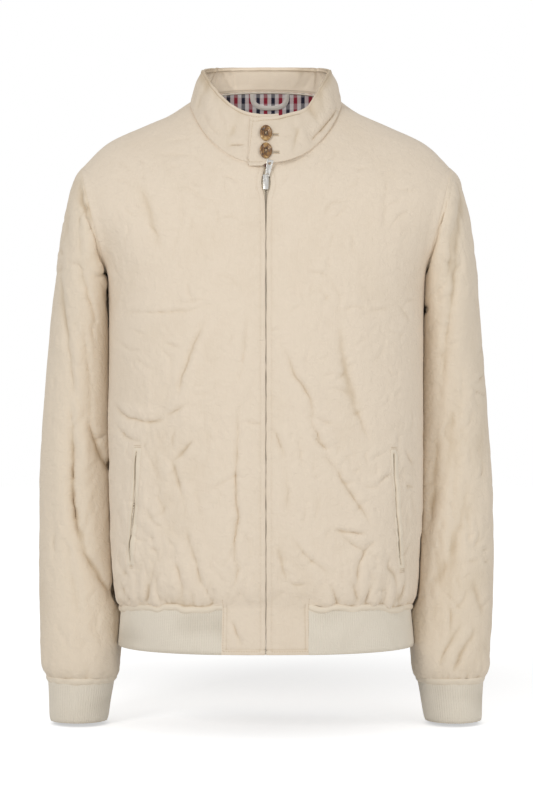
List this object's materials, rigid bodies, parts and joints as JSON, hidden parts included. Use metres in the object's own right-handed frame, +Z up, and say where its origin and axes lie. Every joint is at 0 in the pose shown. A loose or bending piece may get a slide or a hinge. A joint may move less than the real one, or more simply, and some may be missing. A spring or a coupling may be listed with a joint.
{
  "type": "bomber jacket",
  "caption": "Lightly padded bomber jacket with a buttoned stand collar, front zip, rib hem and cuffs, in the hollow form of a worn garment.",
  "frame": {"origin": "Between the shoulders, level with the neck points, where the wearer holds the jacket up.", "axes": "+Z up, the front faces -Y, the wearer's left is +X."},
  "size_m": [0.5976, 0.25, 0.8603],
  "materials": {
    "shell": "plain cotton weave, lightly padded, matt",
    "rib": "fine vertical rib knit, matt",
    "lining": "cotton gingham check in red, navy and white",
    "piping": "light cotton piping",
    "tape": "woven zip tape",
    "metal": "bright nickel",
    "button": "mottled brown horn, polished"
  },
  "bodies": {
    "jacket": {"front_right": "shell", "front_left": "shell", "back": "shell", "sleeve_right": "shell", "sleeve_left": "shell", "collar": "shell", "hem_rib": "rib", "hem_welt": "shell", "cuff_right": "rib", "cuff_left": "rib", "cuff_welt_right": "shell", "cuff_welt_left": "shell", "neck_lining": "lining", "neck_piping": "piping", "hanger_loop": "shell", "pocket_welt_right": "shell", "pocket_welt_left": "shell", "zip_tape_right": "tape", "zip_tape_left": "tape", "zip_chain": "metal", "zip_slider": "metal", "button_upper": "button", "button_lower": "button"},
    "pull_tab": {"zip_pull": "metal"}
  },
  "joints": [
    {"name": "pull_tab_swing", "type": "hinge", "parent": "jacket", "child": "pull_tab", "pos_m": [0.0016, -0.10296, -0.10386], "axis": [0.9816, 0, -0.1908], "range_deg": [0, 165]}
  ]
}
